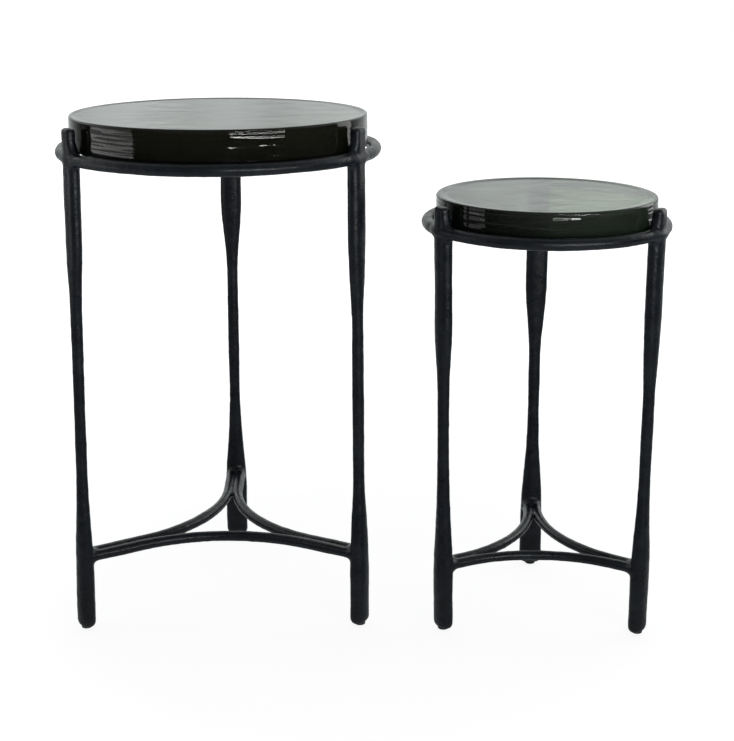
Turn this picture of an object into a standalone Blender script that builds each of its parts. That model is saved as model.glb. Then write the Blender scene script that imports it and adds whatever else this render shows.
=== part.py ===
"""A pair of nesting side tables: hand-forged iron frames with thick cast-glass tops.

Each table is a hoop and three forged legs, tied near the floor by three curved rods. The legs end
in prongs that stand around a heavy glass disc, which rests on three welded seats with clear
bumpers. The small table stands beside the large one and slides under it.

Units are metres, +Z is up, and the origin is the middle of the pair's footprint on the floor.
"""
import math
from typing import NamedTuple

import bmesh
import bpy
from mathutils import Vector

# ---------------------------------------------------------------- sizes shared by both tables

TOUCH_GAP = 0.0003          # left between pieces that touch or are welded
LEG_COUNT = 3

LEG_TOP_WIDTH = 0.026       # widths run around the table, depths run towards its middle
LEG_TOP_DEPTH = 0.0152
LEG_WAIST_WIDTH = 0.0134
LEG_WAIST_DEPTH = 0.0120
LEG_FOOT_WIDTH = 0.0270
LEG_FOOT_DEPTH = 0.0180
LEG_ROUNDNESS = 2.5         # exponent of the leg's section, where 2 is an ellipse
FOOT_EDGE_RADIUS = 0.0055
LEG_FLARE_BOTTOM = 0.070    # height where the flare of the foot starts to slim down
LEG_FLARE_TOP = 0.195       # height where the slim waist starts

PRONG_WIDTH = 0.0195
PRONG_DEPTH = 0.0110
PRONG_ROUNDNESS = 5.0       # a prong's section is nearly a rectangle
PRONG_NECK = 0.012          # height over which the leg turns into the prong
PRONG_EDGE_RADIUS = 0.0015
PRONG_GLASS_GAP = 0.0060    # between a prong's inner face and the glass

SEAT_WIDTH = 0.016
SEAT_THICKNESS = 0.006
SEAT_REACH = 0.018          # how far a seat runs in under the glass from its edge
BUMPER_RADIUS = 0.0055
BUMPER_THICKNESS = 0.0015

GLIDE_RADIUS = 0.0065
GLIDE_THICKNESS = 0.0025

GLASS_LIP_WIDTH = 0.0045
GLASS_LIP_HEIGHT = 0.0010
GLASS_EDGE_RADIUS = 0.0030

ROD_PAIR_GAP = 0.0008       # between the two rods that run side by side into a leg

# ---------------------------------------------------------------- mesh resolution

LEG_SIDES = 16
TUBE_SIDES = 12
HOOP_STEPS = 22
ROD_STEPS = 16
TAPER_STEPS = 4
GLASS_STEPS = 64
PAD_STEPS = 16


class Table(NamedTuple):
    """The driving sizes of one table."""
    name: str
    turn: float             # degrees about +Z
    height: float
    glass_radius: float
    glass_thickness: float
    bar_diameter: float     # of the hoop
    hoop_gap: float         # between the glass and the hoop around it
    hoop_rise: float        # middle of the bar above the underside of the glass
    prong_drop: float       # top of a prong below the top of the glass
    foot_spread: float      # how much further out a foot stands than the hoop
    shoulder_bottom: float  # height where the waist starts to widen
    shoulder_top: float     # height where the leg has its full top width
    rod_height: float
    rod_diameter: float
    rod_pass_radius: float  # least distance from a rod's middle to the table's axis


LARGE = Table(name="large", turn=1.8, height=0.610,
              glass_radius=0.1765, glass_thickness=0.038,
              bar_diameter=0.0135, hoop_gap=0.0025, hoop_rise=-0.0045, prong_drop=0.0080,
              foot_spread=0.0042, shoulder_bottom=0.380, shoulder_top=0.468,
              rod_height=0.091, rod_diameter=0.0120, rod_pass_radius=0.038)

SMALL = Table(name="small", turn=-2.5, height=0.519,
              glass_radius=0.1295, glass_thickness=0.034,
              bar_diameter=0.0135, hoop_gap=0.0027, hoop_rise=0.0005, prong_drop=0.0050,
              foot_spread=-0.0055, shoulder_bottom=0.287, shoulder_top=0.376,
              rod_height=0.082, rod_diameter=0.0108, rod_pass_radius=0.035)

STANDING_GAP = 0.0498       # between the two hoops, with the small table standing beside the large
STANDING_ANGLE = -5.9       # degrees about +Z, from the large table towards the small one

LEG_ANGLES = {"left": 210.0, "right": 330.0, "back": 90.0}
BAY_ANGLES = {"front": 270.0, "right": 30.0, "left": 150.0}
HALF_BAY = math.radians(180.0 / LEG_COUNT)


# ---------------------------------------------------------------- places worked out from the sizes

def glass_underside(table):
    """Height of the underside of the glass."""
    return table.height - table.glass_thickness


def hoop_height(table):
    """Height of the middle of the hoop's bar."""
    return glass_underside(table) + table.hoop_rise


def hoop_radius(table):
    """Distance from the table's axis to the middle of the hoop's bar."""
    return table.glass_radius + table.hoop_gap + table.bar_diameter / 2


def outer_radius(table):
    """Distance from the table's axis to the outside of the hoop."""
    return hoop_radius(table) + table.bar_diameter / 2


def leg_radius(table, height):
    """Distance from the table's axis to the middle of a leg, at a height up to the hoop."""
    share = height / hoop_height(table)
    return hoop_radius(table) + table.foot_spread * (1 - share)


def seat_top(table):
    """Height of the top of the seats, under the bumpers."""
    return glass_underside(table) - BUMPER_THICKNESS - 2 * TOUCH_GAP


def rod_offset(table):
    """How far a rod lies to the side of a leg's radial line where two rods run as a pair."""
    return (table.rod_diameter + ROD_PAIR_GAP) / 2


def eased(share):
    """A smooth step from 0 to 1."""
    return share * share * (3 - 2 * share)


def leg_stations(table):
    """The leg's sections from foot to prong: height, radius, width, depth and roundness."""
    foot = (LEG_FOOT_WIDTH, LEG_FOOT_DEPTH)
    waist = (LEG_WAIST_WIDTH, LEG_WAIST_DEPTH)
    top = (LEG_TOP_WIDTH, LEG_TOP_DEPTH)
    stations = []

    def add(height, size):
        stations.append((height, leg_radius(table, height), size[0], size[1], LEG_ROUNDNESS))

    def taper(low, high, size_low, size_high):
        for step in range(TAPER_STEPS + 1):
            share = step / TAPER_STEPS
            blend = eased(share)
            size = [a + (b - a) * blend for a, b in zip(size_low, size_high)]
            add(low + (high - low) * share, size)

    sole = GLIDE_THICKNESS + TOUCH_GAP
    for degrees in (0, 35, 65):
        angle = math.radians(degrees)
        inset = 2 * FOOT_EDGE_RADIUS * (1 - math.sin(angle))
        lift = FOOT_EDGE_RADIUS * (1 - math.cos(angle))
        add(sole + lift, [size - inset for size in foot])
    add(sole + FOOT_EDGE_RADIUS, foot)
    taper(LEG_FLARE_BOTTOM, LEG_FLARE_TOP, foot, waist)
    taper(table.shoulder_bottom, table.shoulder_top, waist, top)
    bar_top = hoop_height(table) + table.bar_diameter / 2
    add(bar_top, top)

    prong_top = table.height - table.prong_drop
    prong_radius = table.glass_radius + PRONG_GLASS_GAP + PRONG_DEPTH / 2
    neck_top = bar_top + PRONG_NECK
    edge = 2 * PRONG_EDGE_RADIUS
    stations.append((neck_top, prong_radius, PRONG_WIDTH, PRONG_DEPTH, PRONG_ROUNDNESS))
    stations.append((prong_top - PRONG_EDGE_RADIUS, prong_radius,
                     PRONG_WIDTH, PRONG_DEPTH, PRONG_ROUNDNESS))
    stations.append((prong_top, prong_radius,
                     PRONG_WIDTH - edge, PRONG_DEPTH - edge, PRONG_ROUNDNESS))
    return stations


# ---------------------------------------------------------------- building helpers

def material(name, colour, roughness, metallic=0.0, transmission=0.0):
    """A plain Principled material, made once."""
    made = bpy.data.materials.get(name)
    if made:
        return made
    made = bpy.data.materials.new(name)
    made.use_nodes = True
    shader = made.node_tree.nodes["Principled BSDF"]
    shader.inputs["Base Color"].default_value = (*colour, 1.0)
    shader.inputs["Roughness"].default_value = roughness
    shader.inputs["Metallic"].default_value = metallic
    shader.inputs["Transmission Weight"].default_value = transmission
    return made


def forged_iron():
    return material("forged_iron", (0.018, 0.020, 0.024), 0.45, metallic=0.6)


def cast_glass():
    return material("cast_glass", (0.030, 0.050, 0.030), 0.08, transmission=0.5)


def clear_rubber():
    return material("clear_rubber", (0.80, 0.82, 0.82), 0.35, transmission=0.6)


def black_nylon():
    return material("black_nylon", (0.03, 0.03, 0.03), 0.6)


def add_object(name, mesh_builder, look, parent, angle=0.0):
    """Turn a bmesh into a named, smooth-shaded object standing on its table's empty."""
    bmesh.ops.recalc_face_normals(mesh_builder, faces=mesh_builder.faces[:])
    mesh = bpy.data.meshes.new(name)
    mesh_builder.to_mesh(mesh)
    mesh_builder.free()
    mesh.materials.append(look)
    mesh.shade_smooth()
    mesh.set_sharp_from_angle(angle=math.radians(40))
    made = bpy.data.objects.new(name, mesh)
    made.parent = parent
    made.rotation_euler.z = math.radians(angle)
    bpy.context.collection.objects.link(made)
    return made


def skin(rings):
    """Join equal closed rings of points into one closed body with flat ends."""
    body = bmesh.new()
    loops = [[body.verts.new(point) for point in ring] for ring in rings]
    count = len(loops[0])
    for lower, upper in zip(loops, loops[1:]):
        for index in range(count):
            following = (index + 1) % count
            body.faces.new((lower[index], lower[following], upper[following], upper[index]))
    body.faces.new(reversed(loops[0]))
    body.faces.new(loops[-1])
    return body


def squircle(width, depth, roundness, sides):
    """Points of a superellipse, depth along X and width along Y."""
    power = 2.0 / roundness
    points = []
    for index in range(sides):
        angle = 2 * math.pi * index / sides
        across = math.copysign(abs(math.cos(angle)) ** power, math.cos(angle))
        along = math.copysign(abs(math.sin(angle)) ** power, math.sin(angle))
        points.append((depth / 2 * across, width / 2 * along))
    return points


def tube(path, radius):
    """A round bar along a path that lies level."""
    rings = []
    for index, point in enumerate(path):
        before = path[max(index - 1, 0)]
        after = path[min(index + 1, len(path) - 1)]
        ahead = (after - before).normalized()
        side = Vector((ahead.y, -ahead.x, 0))
        ring = []
        for step in range(TUBE_SIDES):
            angle = 2 * math.pi * step / TUBE_SIDES
            ring.append(point + radius * (side * math.cos(angle) + Vector((0, 0, math.sin(angle)))))
        rings.append(ring)
    return skin(rings)


def turned(profile, steps):
    """A solid turned about Z from (radius, height) points, from one end to the other."""
    turn = 2 * math.pi / steps
    rings = []
    for radius, height in profile:
        rings.append([Vector((radius * math.cos(turn * index), radius * math.sin(turn * index), height))
                      for index in range(steps)])
    return skin(rings)


def hide_as_cutter(cutter):
    """Mark an object as a cutter, which is no piece of the table."""
    cutter.hide_render = True
    cutter.display_type = "WIRE"


def cut(piece, cutters):
    """Cope a piece to the cutters it meets."""
    for cutter in cutters:
        modifier = piece.modifiers.new("cope_" + cutter.name, "BOOLEAN")
        modifier.operation = "DIFFERENCE"
        modifier.solver = "EXACT"
        modifier.object = cutter


# ---------------------------------------------------------------- pieces

def leg_body(table, growth=0.0):
    """The forged leg with its prong, or a copy grown on all sides to cope bars against."""
    rings = []
    for height, radius, width, depth, roundness in leg_stations(table):
        outline = squircle(width + 2 * growth, depth + 2 * growth, roundness, LEG_SIDES)
        rings.append([Vector((radius + x, y, height)) for x, y in outline])
    return skin(rings)


def make_legs(table, parent):
    """Three legs and, for coping the bars, three grown copies that are only cutters."""
    cutters = {}
    for side, angle in LEG_ANGLES.items():
        add_object(f"{table.name}_leg_{side}", leg_body(table), forged_iron(), parent, angle)
        cutter = add_object(f"{table.name}_cope_{side}", leg_body(table, TOUCH_GAP),
                            forged_iron(), parent, angle)
        hide_as_cutter(cutter)
        cutters[side] = cutter
    return cutters


def bay_legs(bay):
    """The two legs at either end of a bay between legs."""
    return {"front": ("left", "right"), "right": ("right", "back"), "left": ("back", "left")}[bay]


def make_hoop(table, parent, cutters):
    """The hoop as three bars bent to an arc, each welded between two legs.

    A bar runs into the leg's flank as far as the seat beside it, and is coped to the leg.
    """
    beside_seat = SEAT_WIDTH / 2 + 2 * TOUCH_GAP
    radius = hoop_radius(table)
    inner_radius = radius - table.bar_diameter / 2
    half_arc = HALF_BAY - math.asin(beside_seat / inner_radius)
    for bay, angle in BAY_ANGLES.items():
        path = []
        for step in range(HOOP_STEPS + 1):
            turn = half_arc * (2 * step / HOOP_STEPS - 1)
            path.append(Vector((radius * math.cos(turn), radius * math.sin(turn),
                                hoop_height(table))))
        bar = add_object(f"{table.name}_hoop_{bay}", tube(path, table.bar_diameter / 2),
                         forged_iron(), parent, angle)
        cut(bar, [cutters[side] for side in bay_legs(bay)])


def rod_path(table):
    """One stretcher rod, seen from its bay: straight beside each leg's radial line, then one arc.

    The bay's middle is +X. The arc touches both straight runs and passes the table's axis at the
    rod's least distance.
    """
    offset = rod_offset(table)
    arc_centre = (table.rod_pass_radius - offset) / (1 - math.sin(HALF_BAY))
    arc_radius = arc_centre - table.rod_pass_radius
    end = leg_radius(table, table.rod_height)
    path = []

    def straight(side):
        return Vector((end * math.cos(HALF_BAY) + offset * math.sin(HALF_BAY),
                       side * (end * math.sin(HALF_BAY) - offset * math.cos(HALF_BAY)),
                       table.rod_height))

    path.append(straight(-1))
    sweep = math.radians(90) - HALF_BAY
    for step in range(ROD_STEPS + 1):
        turn = sweep * (2 * step / ROD_STEPS - 1)
        path.append(Vector((arc_centre - arc_radius * math.cos(turn),
                            arc_radius * math.sin(turn), table.rod_height)))
    path.append(straight(1))
    return path


def make_rods(table, parent, cutters):
    """Three stretcher rods, each coped to the two legs it ties."""
    for bay, angle in BAY_ANGLES.items():
        rod = add_object(f"{table.name}_rod_{bay}", tube(rod_path(table), table.rod_diameter / 2),
                         forged_iron(), parent, angle)
        cut(rod, [cutters[side] for side in bay_legs(bay)])


def seat_body(table):
    """A welded seat: a flat lug with a round nose, from inside the leg to under the glass."""
    nose = table.glass_radius - SEAT_REACH
    tail = hoop_radius(table)
    half = SEAT_WIDTH / 2
    outline = [(tail, -half), (tail, half)]
    for step in range(9):
        angle = math.radians(90 + 180 * step / 8)
        outline.append((nose + half + half * math.cos(angle), half * math.sin(angle)))
    top = seat_top(table)
    return skin([[Vector((x, y, height)) for x, y in outline]
                 for height in (top - SEAT_THICKNESS, top)])


def pad_body(radius, flat, soft):
    """A small round pad, either way up, between the heights of its flat and its soft-edged face."""
    edge = (soft - flat) / 3
    return turned([(radius, flat), (radius, soft - edge), (radius - abs(edge), soft)], PAD_STEPS)


def move_out(made, distance):
    """Set a piece that was made on the table's axis out along its own leg's line."""
    made.location.x = distance * math.cos(made.rotation_euler.z)
    made.location.y = distance * math.sin(made.rotation_euler.z)


def make_seats_and_pads(table, parent, cutters):
    """Seats, the bumpers on them, and the glides under the feet."""
    bumper_radius_out = table.glass_radius - SEAT_REACH + SEAT_WIDTH / 2
    bumper_top = glass_underside(table) - TOUCH_GAP
    for side, angle in LEG_ANGLES.items():
        seat = add_object(f"{table.name}_seat_{side}", seat_body(table), forged_iron(), parent, angle)
        cut(seat, [cutters[side]])
        bumper = add_object(f"{table.name}_bumper_{side}",
                            pad_body(BUMPER_RADIUS, bumper_top - BUMPER_THICKNESS, bumper_top),
                            clear_rubber(), parent, angle)
        move_out(bumper, bumper_radius_out)
        glide = add_object(f"{table.name}_glide_{side}", pad_body(GLIDE_RADIUS, GLIDE_THICKNESS, 0.0),
                           black_nylon(), parent, angle)
        move_out(glide, leg_radius(table, 0.0))


def make_glass(table, parent):
    """The cast-glass disc: rounded edges and a low lip around a flat top."""
    radius = table.glass_radius
    bottom = glass_underside(table)
    top = table.height
    edge = GLASS_EDGE_RADIUS
    profile = []
    for degrees in (0, 45, 90):
        angle = math.radians(degrees)
        profile.append((radius - edge + edge * math.sin(angle), bottom + edge - edge * math.cos(angle)))
    for degrees in (0, 45, 90):
        angle = math.radians(degrees)
        profile.append((radius - edge + edge * math.cos(angle), top - edge + edge * math.sin(angle)))
    lip_inside = radius - GLASS_LIP_WIDTH
    profile.append((lip_inside, top))
    profile.append((lip_inside - GLASS_LIP_HEIGHT * 2, top - GLASS_LIP_HEIGHT))
    add_object(f"{table.name}_glass_top", turned(profile, GLASS_STEPS), cast_glass(), parent)


def make_table(table, pair, centre):
    """One whole table on its own empty."""
    stand = bpy.data.objects.new(f"{table.name}_table", None)
    stand.parent = pair
    stand.location = centre
    stand.rotation_euler.z = math.radians(table.turn)
    bpy.context.collection.objects.link(stand)
    cutters = make_legs(table, stand)
    make_hoop(table, stand, cutters)
    make_rods(table, stand, cutters)
    make_seats_and_pads(table, stand, cutters)
    make_glass(table, stand)


def footprint_middle():
    """Middle of the pair's outline on the floor, from the pieces as they stand."""
    bpy.context.view_layer.update()
    corners = [piece.matrix_world @ vertex.co
               for piece in bpy.data.objects if piece.type == "MESH" and not piece.hide_render
               for vertex in piece.data.vertices]
    middle = [(min(c[axis] for c in corners) + max(c[axis] for c in corners)) / 2 for axis in (0, 1)]
    return Vector((*middle, 0.0))


def main():
    for old in list(bpy.data.objects):
        bpy.data.objects.remove(old, do_unlink=True)
    pair = bpy.data.objects.new("nesting_pair", None)
    bpy.context.collection.objects.link(pair)
    apart = outer_radius(LARGE) + STANDING_GAP + outer_radius(SMALL)
    towards_small = math.radians(STANDING_ANGLE)
    make_table(LARGE, pair, Vector((0, 0, 0)))
    make_table(SMALL, pair, apart * Vector((math.cos(towards_small), math.sin(towards_small), 0)))
    pair.location = -footprint_middle()
    bpy.context.view_layer.update()


main()
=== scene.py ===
"""A pair of nesting side tables: hand-forged iron frames with thick cast-glass tops.

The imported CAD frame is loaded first. Each table's legs, hoop, stretcher rods and seats are then
fused into one forged frame with weld fillets and hammer marks, each glass disc is turned again
with a rounded, wavy edge, and the small pads under feet and glass are turned with soft edges.
Sizes and places come from the frame. Units are metres and +Z is up.
"""

import math

import bmesh
import bpy
import numpy as np
from mathutils import Matrix, Vector, noise


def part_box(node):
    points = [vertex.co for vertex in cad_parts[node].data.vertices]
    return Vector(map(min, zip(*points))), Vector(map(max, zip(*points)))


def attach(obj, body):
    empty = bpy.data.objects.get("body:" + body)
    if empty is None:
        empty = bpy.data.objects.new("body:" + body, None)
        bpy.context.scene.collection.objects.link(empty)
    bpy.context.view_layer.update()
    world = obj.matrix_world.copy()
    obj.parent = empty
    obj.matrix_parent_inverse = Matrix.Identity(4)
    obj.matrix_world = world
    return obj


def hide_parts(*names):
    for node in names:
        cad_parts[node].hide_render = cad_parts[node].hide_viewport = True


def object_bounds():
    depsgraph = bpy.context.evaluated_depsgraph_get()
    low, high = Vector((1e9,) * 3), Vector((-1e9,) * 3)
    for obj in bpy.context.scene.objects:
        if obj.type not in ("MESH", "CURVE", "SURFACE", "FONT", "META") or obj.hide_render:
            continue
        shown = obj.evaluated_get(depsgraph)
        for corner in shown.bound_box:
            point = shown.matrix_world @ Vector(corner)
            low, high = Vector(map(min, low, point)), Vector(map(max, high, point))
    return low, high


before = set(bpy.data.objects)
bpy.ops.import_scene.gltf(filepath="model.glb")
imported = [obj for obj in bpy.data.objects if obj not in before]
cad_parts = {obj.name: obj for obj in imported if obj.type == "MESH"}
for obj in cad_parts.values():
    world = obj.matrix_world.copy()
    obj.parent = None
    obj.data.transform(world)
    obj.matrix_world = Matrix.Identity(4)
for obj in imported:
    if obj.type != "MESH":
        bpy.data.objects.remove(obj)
CAD_LOW, CAD_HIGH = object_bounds()

SIDES = ("left", "right", "back")

# ---------------------------------------------------------------- sizes of the finish

SAME_POINT = 0.00001         # corners closer than this are one corner
WELD_GROWTH = 0.00045        # pieces grow this much, so that welded neighbours meet
FRAME_VOXEL = {"large": 0.00166, "small": 0.00149}      # of the skin of a fused frame
WELD_SMOOTHING = 14          # rounds of smoothing that turn meeting edges into fillets
SMOOTHING_STRENGTH = 0.5
SMOOTHED_AWAY = 0.00035      # what the smoothing takes off a bar, put back afterwards
ROD_WELD = (0.0105, 0.0135, 0.0098)     # radii of a weld swelling: inwards, around and upwards
ROD_WELD_INSET = 0.0065      # of its middle from the leg's axis
HOOP_WELD = (0.0092, 0.0270, 0.0096)    # the same at a hoop; 0.033 around cut into the glass
WELD_STEPS = (32, 20)        # sides of a swelling, around and from end to end
LOWER_LEG = (0.0, 0.2)       # heights between which a leg's corners give its axis
HOOP_MARGIN = 0.001          # beyond a hoop's height, to take in the leg's corners there
DENT_SPACING = 0.0135        # between neighbouring hammer marks
DENT_DEPTH = 0.00036
DENT_LEVEL = 0.35            # share of a dent's depth that lies below the bar's surface
SCALE_SPACING = 0.0045       # between the small bumps of forge scale
SCALE_HEIGHT = 0.00009
UNEVEN_SPACING = 0.050       # of the bar's slow unevenness
UNEVEN_HEIGHT = 0.00055

GLASS_STEPS = 288            # sides of a turned disc
GLASS_TOP_EDGE = 0.0026      # radius of the rounded edges
GLASS_BOTTOM_EDGE = 0.0018
GLASS_LIP = {"large": (0.0065, 0.0011), "small": (0.0115, 0.0015)}     # width and height
GLASS_WAVE = 0.00035         # height of the slow waves in the cast glass

UNDERSIDE_RINGS = (0.02, 0.95, 14)      # first and last share of the radius, and their number
BOTTOM_EDGE_STEPS = 6
SIDE_RINGS = 44
TOP_EDGE_STEPS = 8
LIP_RINGS = 8
TOP_RINGS = (0.98, 0.01, 40)            # shares of the radius inside the lip, and their number

SIDE_START = 0.95            # share of the radius where the ripples of the side begin
SIDE_FADE_IN = 30            # how fast they reach their full depth
SWELL_SCALE = 14.0           # features to the metre, here and in the next three
STREAK_SCALE_ROUND = 14
STREAK_SCALE_UPRIGHT = 340
TOP_WAVE_SCALES = (9.0, 28.0)
SWELL_SHARE = 0.4            # of the wave's height
STREAK_SHARE_LOW = 0.5
STREAK_SHARE_TOP = 1.1       # added towards the upper edge
SIDE_RIPPLE = {"large": 0.75, "small": 1.2}     # strength of the streaks on each disc
TOP_WAVE_FINE = 0.35         # strength of the finer waves of the top
TOP_WAVE_LEVEL = 0.5         # how far they are set down, as a share of the wave's height

PAD_STEPS = 48               # sides of a turned pad
PAD_EDGE = 0.45              # rounded share of a pad's thickness
PAD_INNER = 0.5              # share of the radius that the fans of its end faces cover
PAD_CHAMFER = 0.3            # of its fixed end, as a share of the rounded edge
PAD_EDGE_STEPS = 6

# ---------------------------------------------------------------- colours and studio

IRON_COLOURS = ((0.30, (0.0022, 0.0036, 0.0066)),
                (0.52, (0.0040, 0.0062, 0.0108)),
                (0.72, (0.0085, 0.0115, 0.0170)))
WORN_IRON = (0.028, 0.032, 0.040, 1.0)
GLASS_TINTS_AND_PAINTED_LIGHT = {              # where it looks thin, where it looks thick, and painted light: how far it is made paler to the right, where more light falls
    "large": ((0.15, 0.155, 0.10), (0.050, 0.052, 0.022), 0.15),
    "small": ((0.40, 0.49, 0.39), (0.050, 0.072, 0.048), 0.28)}
GLASS_INDEX = 1.52
GLASS_CLARITY = 0.94
GLASS_DEPTH_COLOUR = (0.25, 0.42, 0.12, 1.0)
GLASS_DEPTH_DENSITY = 34.0
RUBBER_INDEX = 1.45
RUBBER_CLARITY = 0.7
RUBBER_COLOURS = ((0.3, (0.70, 0.73, 0.72)), (0.7, (0.82, 0.84, 0.83)))
NYLON_COLOURS = ((0.3, (0.012, 0.012, 0.013)), (0.7, (0.026, 0.026, 0.028)))

FLOOR_REACH = 12.0           # from its middle to its sides
FLOOR_LEVEL = -0.0002        # just under the feet
FLOOR_COLOUR = (0.80, 0.80, 0.80, 1.0)
FLOOR_ROUGHNESS = 0.9
FLOOR_SHINE = 0.1
FLOOR_GLOW = 1.27            # strength of its own light
FLOOR_FADE = (0.35, 1.3)     # distances between which it fades into the white
FLOOR_GLOW_SHARE = 0.70      # of that light near the tables, where the rest is paint
WHITE = (1.0, 1.0, 1.0)

# The room's light by direction: from one share of X, Y or Z to another, and the light at each.
ROOM_ABOVE = (-0.03, 0.28, 0.0, 1.0)
ROOM_FRONT = (-0.5, 0.7, 0.16, 1.0)     # dims what is above, on the camera's side
ROOM_OVERHEAD = (0.32, 0.60, 1.0, 0.55)     # and straight overhead
ROOM_BEHIND = (0.50, 0.95, 0.0, 0.72)
ROOM_BELOW = (-0.45, -0.22, 0.22, 0.0)
ROOM_LIGHT = (0.030, 1.03)   # its darkest and its brightest, before the patches
ROOM_TINT = (0.950, 1.0, 0.985)
CLOUD_SCALE = 24.0           # of the soft patches in the room's light
CLOUD_LIGHT = (0.87, 1.13)   # how much they dim and brighten it

SOFTBOXES = (                # name, place, target, width, height, power in watts
    ("window_light", (-0.84, -0.21, 0.46), (0.0, -0.13, 0.46), 0.50, 0.34, 0.24),
    ("window_bar", (-0.82, -0.21, 0.50), (0.0, -0.13, 0.50), 0.50, 0.05, 0.075),
    ("right_light", (1.30, 0.55, 0.75), (0.1, 0.0, 0.40), 0.50, 0.90, 2.0),
    ("front_strip", (0.78, -1.45, 0.56), (0.02, -0.02, 0.56), 1.30, 0.08, 6.0))

CAMERA_PLACE = (0.0139, -1.7618, 0.8018)
CAMERA_DOWN = 12.03          # degrees below the level
CAMERA_TURN = 0.26           # degrees to the left of +Y
CAMERA_LENS = 72.15
CAMERA_SHIFT = -0.145


# ---------------------------------------------------------------- materials

def new_material(name):
    """An empty node material with its Principled shader and object coordinates."""
    made = bpy.data.materials.new(name)
    made.use_nodes = True
    tree = made.node_tree
    shader = tree.nodes["Principled BSDF"]
    place = tree.nodes.new("ShaderNodeTexCoord").outputs["Object"]
    return made, tree, shader, place


def add_noise(tree, place, scale, detail=3.0, roughness=0.5):
    """Cloudy noise with so many features to the metre."""
    node = tree.nodes.new("ShaderNodeTexNoise")
    node.inputs["Scale"].default_value = scale
    node.inputs["Detail"].default_value = detail
    node.inputs["Roughness"].default_value = roughness
    tree.links.new(place, node.inputs["Vector"])
    return node.outputs["Fac"]


def add_ramp(tree, value, stops):
    """Turns a value into the colours at (position, colour) stops."""
    node = tree.nodes.new("ShaderNodeValToRGB")
    while len(node.color_ramp.elements) < len(stops):
        node.color_ramp.elements.new(0.5)
    for element, (position, colour) in zip(node.color_ramp.elements, stops):
        element.position = position
        element.color = (*colour, 1.0)
    tree.links.new(value, node.inputs["Fac"])
    return node.outputs["Color"]


def add_range(tree, value, low, high, new_low, new_high):
    """Moves a value from one range to another, held at its ends."""
    node = tree.nodes.new("ShaderNodeMapRange")
    sizes = {"From Min": low, "From Max": high, "To Min": new_low, "To Max": new_high}
    for socket, size in sizes.items():
        node.inputs[socket].default_value = size
    tree.links.new(value, node.inputs["Value"])
    return node.outputs["Result"]


def add_math(tree, operation, first, second):
    """One operation on two values, each a socket or a number."""
    node = tree.nodes.new("ShaderNodeMath")
    node.operation = operation
    for socket, value in zip(node.inputs, (first, second)):
        if isinstance(value, (int, float)):
            socket.default_value = value
        else:
            tree.links.new(value, socket)
    return node.outputs["Value"]


def add_bump(tree, height, distance, strength, under=None):
    """A bump of a real height, over another one if there is one under it."""
    node = tree.nodes.new("ShaderNodeBump")
    node.inputs["Distance"].default_value = distance
    node.inputs["Strength"].default_value = strength
    tree.links.new(height, node.inputs["Height"])
    if under is not None:
        tree.links.new(under, node.inputs["Normal"])
    return node.outputs["Normal"]


def forged_iron():
    """Blackened iron under wax: blue-black, satin, pitted, and a little brighter on its edges."""
    made, tree, shader, place = new_material("forged_iron")
    patches = add_noise(tree, place, 38.0, detail=5.0, roughness=0.6)
    colour = add_ramp(tree, patches, IRON_COLOURS)
    geometry = tree.nodes.new("ShaderNodeNewGeometry")
    worn = add_range(tree, geometry.outputs["Pointiness"], 0.52, 0.60, 0.0, 0.45)
    mix = tree.nodes.new("ShaderNodeMix")
    mix.data_type = "RGBA"
    tree.links.new(worn, mix.inputs["Factor"])
    tree.links.new(colour, mix.inputs["A"])
    mix.inputs["B"].default_value = WORN_IRON
    tree.links.new(mix.outputs["Result"], shader.inputs["Base Color"])
    sheen_patches = add_noise(tree, place, 90.0, detail=4.0)
    roughness = add_range(tree, sheen_patches, 0.3, 0.7, 0.24, 0.42)
    tree.links.new(roughness, shader.inputs["Roughness"])
    pits = tree.nodes.new("ShaderNodeTexVoronoi")
    pits.inputs["Scale"].default_value = 420.0
    tree.links.new(place, pits.inputs["Vector"])
    pit_floor = add_range(tree, pits.outputs["Distance"], 0.0, 0.35, 0.0, 1.0)
    grain = add_noise(tree, place, 900.0, detail=2.0)
    coarse = add_bump(tree, add_noise(tree, place, 170.0, detail=3.0), 0.0006, 0.55)
    pitted = add_bump(tree, pit_floor, 0.00025, 0.45, under=coarse)
    fine = add_bump(tree, grain, 0.00012, 0.35, under=pitted)
    tree.links.new(fine, shader.inputs["Normal"])
    return made


def cast_glass(table, thin, thick, painted_light_drift):
    """Dark cast glass: faint swirling between two colours, paler to the right as painted light from
    that side, and a bright gloss.
    """
    made, tree, shader, place = new_material(f"cast_glass_{table}")
    shader.inputs["IOR"].default_value = GLASS_INDEX
    shader.inputs["Transmission Weight"].default_value = GLASS_CLARITY
    low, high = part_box(f"{table}_glass_top")
    parts = tree.nodes.new("ShaderNodeSeparateXYZ")
    tree.links.new(place, parts.inputs["Vector"])
    # painted light: the colour is pushed towards the paler tint on the right, where more light
    # falls
    painted_light_slope = add_range(tree, parts.outputs["X"], low.x, high.x, -painted_light_drift, painted_light_drift)
    swirls_and_painted_light = add_math(tree, "ADD", add_noise(tree, place, 9.0, detail=3.0), painted_light_slope)
    colour = add_ramp(tree, swirls_and_painted_light, ((0.30, thick), (0.70, thin)))
    tree.links.new(colour, shader.inputs["Base Color"])
    smears = add_noise(tree, place, 26.0, detail=4.0)
    tree.links.new(add_range(tree, smears, 0.35, 0.75, 0.02, 0.09), shader.inputs["Roughness"])
    flow = add_noise(tree, place, 30.0, detail=2.0)
    ripple = add_noise(tree, place, 210.0, detail=2.0)
    slow = add_bump(tree, flow, 0.0012, 0.35)
    tree.links.new(add_bump(tree, ripple, 0.00010, 0.30, under=slow), shader.inputs["Normal"])
    deep = tree.nodes.new("ShaderNodeVolumeAbsorption")
    deep.inputs["Color"].default_value = GLASS_DEPTH_COLOUR
    deep.inputs["Density"].default_value = GLASS_DEPTH_DENSITY
    tree.links.new(deep.outputs["Volume"], tree.nodes["Material Output"].inputs["Volume"])
    return made


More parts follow.
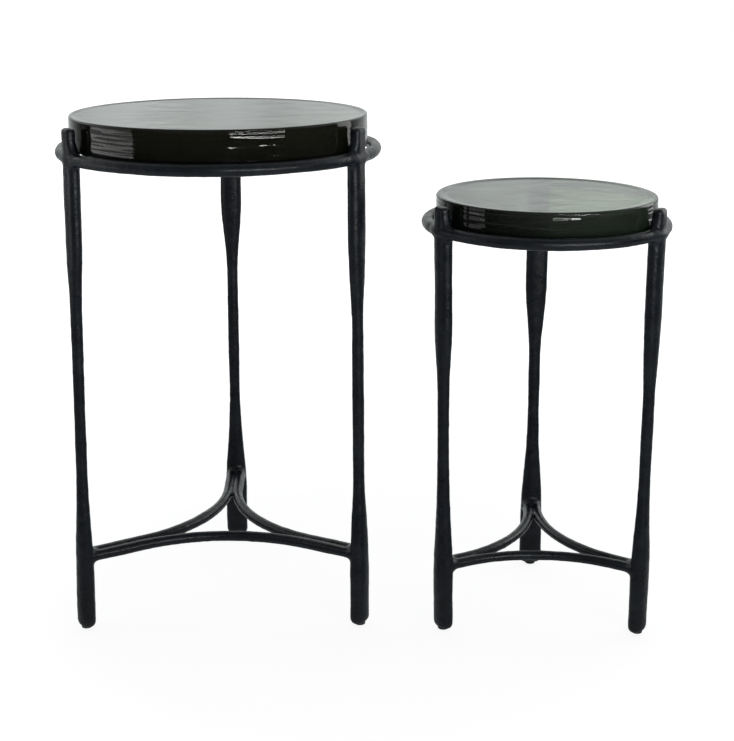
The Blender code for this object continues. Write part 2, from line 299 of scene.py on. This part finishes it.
def clear_bumper():
    """Soft clear rubber, slightly milky."""
    made, tree, shader, place = new_material("clear_bumper")
    shader.inputs["Transmission Weight"].default_value = RUBBER_CLARITY
    shader.inputs["IOR"].default_value = RUBBER_INDEX
    milk = add_noise(tree, place, 400.0)
    colour = add_ramp(tree, milk, RUBBER_COLOURS)
    tree.links.new(colour, shader.inputs["Base Color"])
    tree.links.new(add_range(tree, milk, 0.3, 0.7, 0.22, 0.40), shader.inputs["Roughness"])
    tree.links.new(add_bump(tree, milk, 0.0001, 0.3), shader.inputs["Normal"])
    return made


def black_glide():
    """Moulded black nylon with a fine grain."""
    made, tree, shader, place = new_material("black_glide")
    grain = add_noise(tree, place, 1400.0, detail=2.0)
    colour = add_ramp(tree, grain, NYLON_COLOURS)
    tree.links.new(colour, shader.inputs["Base Color"])
    tree.links.new(add_range(tree, grain, 0.3, 0.7, 0.5, 0.7), shader.inputs["Roughness"])
    tree.links.new(add_bump(tree, grain, 0.00008, 0.4), shader.inputs["Normal"])
    return made


IRON = forged_iron()
GLASS = {table: cast_glass(table, *tints_and_painted_light) for table, tints_and_painted_light in GLASS_TINTS_AND_PAINTED_LIGHT.items()}
BUMPER = clear_bumper()
GLIDE = black_glide()


# ---------------------------------------------------------------- pieces

def add_piece(name, mesh, look, body, replaced):
    """A finished piece in place of its CAD nodes, riding on their body."""
    mesh.materials.clear()
    mesh.materials.append(look)
    mesh.shade_smooth()
    made = bpy.data.objects.new(name, mesh)
    bpy.context.scene.collection.objects.link(made)
    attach(made, body)
    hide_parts(*replaced)
    return made


def read_points(mesh):
    """The mesh's corners as rows of x, y, z."""
    points = np.empty(len(mesh.vertices) * 3)
    mesh.vertices.foreach_get("co", points)
    return points.reshape(-1, 3)


def write_points(mesh, points):
    """Moves the mesh's corners to rows of x, y, z."""
    mesh.vertices.foreach_set("co", points.astype(np.float32).ravel())
    mesh.update()


def kept_in_box(points):
    """The points, held inside the CAD model's own box."""
    return np.clip(points, np.array(CAD_LOW), np.array(CAD_HIGH))


def grown_together(nodes, growth):
    """One mesh of several CAD nodes, each welded shut and grown a little on all sides."""
    together = bmesh.new()
    for name in nodes:
        single = bmesh.new()
        single.from_mesh(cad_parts[name].data)
        bmesh.ops.remove_doubles(single, verts=single.verts[:], dist=SAME_POINT)
        bmesh.ops.recalc_face_normals(single, faces=single.faces[:])
        single.normal_update()
        for vertex in single.verts:
            vertex.co += vertex.normal * growth
        mesh = bpy.data.meshes.new(name + "_grown")
        single.to_mesh(mesh)
        single.free()
        together.from_mesh(mesh)
        bpy.data.meshes.remove(mesh)
    mesh = bpy.data.meshes.new("grown")
    together.to_mesh(mesh)
    together.free()
    return mesh


def table_axis(table):
    """The middle of a table's glass disc."""
    low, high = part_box(f"{table}_glass_top")
    return (low + high) / 2


def leg_axis(table, side, low, high):
    """The middle of a leg between two heights."""
    corners = [vertex.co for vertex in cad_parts[f"{table}_leg_{side}"].data.vertices
               if low < vertex.co.z < high]
    return sum(corners, Vector()) / len(corners)


def add_swelling(body, middle, inwards, radii):
    """A rounded swelling of weld metal, to be fused with the bars around it."""
    turn = Matrix.Rotation(math.atan2(inwards.y, inwards.x), 4, "Z")
    size = Matrix.Diagonal((*radii, 1.0))
    around, upright = WELD_STEPS
    bmesh.ops.create_uvsphere(body, u_segments=around, v_segments=upright, radius=1.0,
                              matrix=Matrix.Translation(middle) @ turn @ size)


def add_welds(mesh, table):
    """Weld metal where two rods run into each leg, and where the hoop does."""
    rod_low, rod_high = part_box(f"{table}_rod_front")
    hoop_low, hoop_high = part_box(f"{table}_hoop_front")
    together = bmesh.new()
    together.from_mesh(mesh)
    for side in SIDES:
        foot = leg_axis(table, side, *LOWER_LEG)
        inwards = table_axis(table) - foot
        inwards.z = 0.0
        inwards.normalize()
        middle = foot + inwards * ROD_WELD_INSET
        middle.z = (rod_low.z + rod_high.z) / 2
        add_swelling(together, middle, inwards, ROD_WELD)
        middle = leg_axis(table, side, hoop_low.z - HOOP_MARGIN, hoop_high.z + HOOP_MARGIN)
        middle.z = (hoop_low.z + hoop_high.z) / 2
        add_swelling(together, middle, inwards, HOOP_WELD)
    together.to_mesh(mesh)
    together.free()


def fused(mesh, voxel, rounds):
    """The bodies of a mesh fused into one skin, its meeting edges smoothed to fillets."""
    holder = bpy.data.objects.new("fusing", mesh)
    bpy.context.scene.collection.objects.link(holder)
    remesh = holder.modifiers.new("fuse", "REMESH")
    remesh.mode = "VOXEL"
    remesh.voxel_size = voxel
    smooth = holder.modifiers.new("fillet", "SMOOTH")
    smooth.factor = SMOOTHING_STRENGTH
    smooth.iterations = rounds
    bpy.context.view_layer.update()
    evaluated = holder.evaluated_get(bpy.context.evaluated_depsgraph_get())
    result = bpy.data.meshes.new_from_object(evaluated)
    bpy.data.objects.remove(holder)
    bpy.data.meshes.remove(mesh)
    return result


def read_normals(mesh):
    """The normals at the mesh's corners as rows of x, y, z."""
    normals = np.empty(len(mesh.vertices) * 3)
    mesh.vertices.foreach_get("normal", normals)
    return normals.reshape(-1, 3)


def hammer(mesh):
    """Hammer marks, forge scale and a slow unevenness, pressed into a mesh along its normals."""
    points = read_points(mesh)
    normals = read_normals(mesh)
    depths = np.empty(len(points))
    for index, point in enumerate(points):
        place = Vector(point)
        nearest = noise.voronoi(place / DENT_SPACING)[0][0]
        dent = min(nearest, 1.0) ** 2 - DENT_LEVEL
        scale = noise.noise(place / SCALE_SPACING)
        slow = noise.noise(place / UNEVEN_SPACING)
        depths[index] = DENT_DEPTH * dent + SCALE_HEIGHT * scale + UNEVEN_HEIGHT * slow
    points += normals * (depths + SMOOTHED_AWAY)[:, None]
    write_points(mesh, kept_in_box(points))


def nodes_of(table, *kinds):
    """A table's CAD nodes of some kinds, such as its legs."""
    return sorted(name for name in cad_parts
                  if any(name.startswith(f"{table}_{kind}_") for kind in kinds))


def make_frame(table):
    """A table's legs, hoop, rods and seats as one forged and welded frame."""
    nodes = nodes_of(table, "leg", "hoop", "rod", "seat")
    mesh = grown_together(nodes, WELD_GROWTH)
    add_welds(mesh, table)
    mesh = fused(mesh, FRAME_VOXEL[table], WELD_SMOOTHING)
    hammer(mesh)
    return add_piece(f"{table}_forged_frame", mesh, IRON, f"{table}_frame", nodes)


def lathe(profile, steps, centre):
    """A closed body turned about an upright line, its two ends closed by fans."""
    body = bmesh.new()
    rings = []
    for radius, height in profile:
        ring = []
        for step in range(steps):
            angle = 2 * math.pi * step / steps
            ring.append(body.verts.new((centre[0] + radius * math.cos(angle),
                                        centre[1] + radius * math.sin(angle), height)))
        rings.append(ring)
    for lower, upper in zip(rings, rings[1:]):
        for index in range(steps):
            following = (index + 1) % steps
            body.faces.new((lower[index], lower[following], upper[following], upper[index]))
    for ring, height in ((rings[0], profile[0][1]), (rings[-1], profile[-1][1])):
        middle = body.verts.new((centre[0], centre[1], height))
        for index in range(steps):
            body.faces.new((ring[index], ring[(index + 1) % steps], middle))
    bmesh.ops.recalc_face_normals(body, faces=body.faces[:])
    return body


def arc(centre_radius, centre_height, radius, start, end, steps):
    """Points of a profile's rounded corner, from one angle to another in degrees."""
    points = []
    for step in range(steps + 1):
        angle = math.radians(start + (end - start) * step / steps)
        points.append((centre_radius + radius * math.cos(angle),
                       centre_height + radius * math.sin(angle)))
    return points


def glass_profile(radius, bottom, top, lip_width, lip_height):
    """Half of the disc's section, from the underside's middle to the top's."""
    foot = GLASS_BOTTOM_EDGE
    edge = GLASS_TOP_EDGE
    points = [(radius * share, bottom) for share in np.linspace(*UNDERSIDE_RINGS)]
    points += arc(radius - foot, bottom + foot, foot, -90, 0, BOTTOM_EDGE_STEPS)
    heights = np.linspace(bottom + foot, top - edge, SIDE_RINGS)[1:-1]
    points += [(radius, height) for height in heights]
    points += arc(radius - edge, top - edge, edge, 0, 90, TOP_EDGE_STEPS)
    for share in np.linspace(0, 1, LIP_RINGS)[1:]:
        # a smooth S from the rounded edge down to the flat
        drop = lip_height * share * share * (3 - 2 * share)
        points.append((radius - edge - lip_width * share, top - drop))
    lip_end = radius - edge - lip_width
    flat = top - lip_height
    points += [(lip_end * share, flat) for share in np.linspace(*TOP_RINGS)]
    return points


def make_glass(table):
    """The cast disc, with slow waves in its top and drawn-out ripples round its side."""
    node = f"{table}_glass_top"
    low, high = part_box(node)
    middle = (low + high) / 2
    radius = (high.x - low.x) / 2
    profile = glass_profile(radius - GLASS_WAVE, low.z, high.z, *GLASS_LIP[table])
    body = lathe(profile, GLASS_STEPS, middle)
    for vertex in body.verts:
        away = Vector((vertex.co.x - middle.x, vertex.co.y - middle.y, 0.0))
        share = away.length / radius
        if share > SIDE_START:
            swell = noise.noise(vertex.co * SWELL_SCALE)
            streak = noise.noise(Vector((away.x * STREAK_SCALE_ROUND, away.y * STREAK_SCALE_ROUND,
                                         vertex.co.z * STREAK_SCALE_UPRIGHT)))
            upper = (vertex.co.z - low.z) / (high.z - low.z)
            ripple = SIDE_RIPPLE[table] * (STREAK_SHARE_LOW + STREAK_SHARE_TOP * upper ** 3)
            push = GLASS_WAVE * (SWELL_SHARE * swell + ripple * streak)
            push *= min((share - SIDE_START) * SIDE_FADE_IN, 1.0)
            vertex.co += away.normalized() * push
        elif vertex.co.z > middle.z:
            slow, fine = (noise.noise(vertex.co * scale) for scale in TOP_WAVE_SCALES)
            wave = slow + TOP_WAVE_FINE * fine - TOP_WAVE_LEVEL
            vertex.co.z += GLASS_WAVE * wave * (1 - share ** 6)
    mesh = bpy.data.meshes.new(node)
    body.to_mesh(mesh)
    body.free()
    write_points(mesh, kept_in_box(read_points(mesh)))
    return add_piece(f"{table}_cast_glass", mesh, GLASS[table],
                     f"{table}_top", [node])


def make_pad(node, piece, look, body, soft_end):
    """A small round pad with a rounded edge at its soft end, in place of its CAD node."""
    low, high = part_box(node)
    middle = (low + high) / 2
    radius = (high.x - low.x) / 2
    thickness = high.z - low.z
    edge = thickness * PAD_EDGE
    chamfer = edge * PAD_CHAMFER
    rim = [(radius * PAD_INNER, 0.0), (radius - chamfer, 0.0), (radius, chamfer)]
    rim += arc(radius - edge, thickness - edge, edge, 0, 90, PAD_EDGE_STEPS)
    rim += [(radius * PAD_INNER, thickness)]
    profile = [(r, low.z + h if soft_end == "top" else high.z - h) for r, h in rim]
    made = lathe(profile, PAD_STEPS, middle)
    mesh = bpy.data.meshes.new(piece)
    made.to_mesh(mesh)
    made.free()
    return add_piece(piece, mesh, look, body, [node])


def make_pads(table):
    """The clear bumpers on the seats and the glides under the feet."""
    for side in SIDES:
        make_pad(f"{table}_bumper_{side}", f"{table}_clear_bumper_{side}", BUMPER,
                 f"{table}_frame", "top")
        make_pad(f"{table}_glide_{side}", f"{table}_foot_glide_{side}", GLIDE,
                 f"{table}_frame", "bottom")


for table in ("large", "small"):
    make_frame(table)
    make_glass(table)
    make_pads(table)


# ---------------------------------------------------------------- studio

def make_floor():
    """A pale floor that fades into the white around it."""
    body = bmesh.new()
    bmesh.ops.create_grid(body, x_segments=8, y_segments=8, size=FLOOR_REACH)
    mesh = bpy.data.meshes.new("floor")
    body.to_mesh(mesh)
    body.free()
    floor = bpy.data.objects.new("floor", mesh)
    floor.location.z = FLOOR_LEVEL
    bpy.context.scene.collection.objects.link(floor)
    made = bpy.data.materials.new("floor_paint")
    made.use_nodes = True
    tree = made.node_tree
    shader = tree.nodes["Principled BSDF"]
    shader.inputs["Base Color"].default_value = FLOOR_COLOUR
    shader.inputs["Roughness"].default_value = FLOOR_ROUGHNESS
    shader.inputs["Specular IOR Level"].default_value = FLOOR_SHINE
    glow = tree.nodes.new("ShaderNodeEmission")
    glow.inputs["Color"].default_value = (*WHITE, 1.0)
    glow.inputs["Strength"].default_value = FLOOR_GLOW
    place = tree.nodes.new("ShaderNodeTexCoord").outputs["Object"]
    distance = tree.nodes.new("ShaderNodeVectorMath")
    distance.operation = "LENGTH"
    tree.links.new(place, distance.inputs[0])
    share = add_range(tree, distance.outputs["Value"], *FLOOR_FADE, FLOOR_GLOW_SHARE, 1.0)
    mix = tree.nodes.new("ShaderNodeMixShader")
    tree.links.new(share, mix.inputs["Fac"])
    tree.links.new(shader.outputs["BSDF"], mix.inputs[1])
    tree.links.new(glow.outputs["Emission"], mix.inputs[2])
    tree.links.new(mix.outputs["Shader"], tree.nodes["Material Output"].inputs["Surface"])
    mesh.materials.append(made)
    floor.visible_glossy = False


def make_world():
    """White for the camera, and for all other rays a room with soft patches and a faint tint.

    It is bright above, a little less so straight overhead, and dim on the camera's side. Low
    down it is dark, but for the side behind the tables and a little light from below.
    """
    world = bpy.data.worlds.new("studio")
    bpy.context.scene.world = world
    world.use_nodes = True
    tree = world.node_tree
    background = tree.nodes["Background"]
    direction = tree.nodes.new("ShaderNodeTexCoord").outputs["Generated"]
    parts = tree.nodes.new("ShaderNodeSeparateXYZ")
    tree.links.new(direction, parts.inputs["Vector"])
    above = add_range(tree, parts.outputs["Z"], *ROOM_ABOVE)
    behind = add_range(tree, parts.outputs["Y"], *ROOM_BEHIND)
    front = add_range(tree, parts.outputs["Y"], *ROOM_FRONT)
    overhead = add_range(tree, parts.outputs["Z"], *ROOM_OVERHEAD)
    below = add_range(tree, parts.outputs["Z"], *ROOM_BELOW)
    upper = add_math(tree, "MULTIPLY", add_math(tree, "MULTIPLY", above, front), overhead)
    lit = add_math(tree, "MAXIMUM", add_math(tree, "MAXIMUM", upper, behind), below)
    room = add_range(tree, lit, 0.0, 1.0, *ROOM_LIGHT)
    patches = add_noise(tree, direction, CLOUD_SCALE, detail=2.0)
    clouds = add_range(tree, patches, 0.3, 0.7, *CLOUD_LIGHT)
    room = add_math(tree, "MULTIPLY", room, clouds)
    camera = tree.nodes.new("ShaderNodeLightPath").outputs["Is Camera Ray"]
    strength = add_math(tree, "MAXIMUM", room, camera)
    tree.links.new(strength, background.inputs["Strength"])
    tint = add_ramp(tree, camera, ((0.0, ROOM_TINT), (1.0, WHITE)))
    tree.links.new(tint, background.inputs["Color"])


def add_softbox(name, place, target, width, height, power):
    """A soft rectangular light that the camera doesn't see, except in reflections."""
    light = bpy.data.lights.new(name, "AREA")
    light.shape = "RECTANGLE"
    light.size = width
    light.size_y = height
    light.energy = power
    made = bpy.data.objects.new(name, light)
    made.location = place
    made.rotation_euler = (Vector(target) - Vector(place)).to_track_quat("-Z", "Y").to_euler()
    made.visible_camera = False
    bpy.context.scene.collection.objects.link(made)


def make_camera():
    """The photograph's point of view: a little above the glass, looking slightly down."""
    camera = bpy.data.cameras.new("camera")
    camera.lens = CAMERA_LENS
    camera.shift_y = CAMERA_SHIFT
    camera.dof.use_dof = False
    made = bpy.data.objects.new("camera", camera)
    made.location = CAMERA_PLACE
    made.rotation_euler = (math.radians(90 - CAMERA_DOWN), 0.0, math.radians(CAMERA_TURN))
    bpy.context.scene.collection.objects.link(made)
    bpy.context.scene.camera = made


make_floor()
make_world()
for softbox in SOFTBOXES:
    add_softbox(*softbox)
make_camera()
bpy.context.scene.view_settings.view_transform = "Standard"
